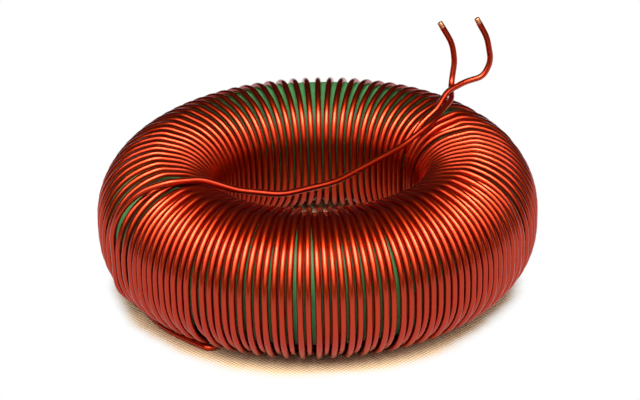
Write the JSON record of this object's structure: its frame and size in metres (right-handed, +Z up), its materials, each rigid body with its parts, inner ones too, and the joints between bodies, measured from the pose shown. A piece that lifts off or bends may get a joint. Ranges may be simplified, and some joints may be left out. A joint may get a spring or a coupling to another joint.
{
  "type": "crossover inductor",
  "caption": "Toroidal crossover inductor: a rounded powder-core ring closely wound with enamelled copper wire, its two wire ends twisted together and standing up as leads.",
  "frame": {"origin": "centre of the ring, on the surface it lies on", "axes": "+Z up along the ring's axis, away from the surface; +Y away from the viewer; the two leads stand up at the +X +Y side"},
  "size_m": [0.063, 0.063, 0.0325],
  "materials": {
    "core_coating": "satin green epoxy coating over pressed iron powder",
    "enamelled_copper": "glossy red-orange enamel over copper"
  },
  "bodies": {
    "root": {"core": "core_coating", "winding": "enamelled_copper"}
  },
  "joints": []
}
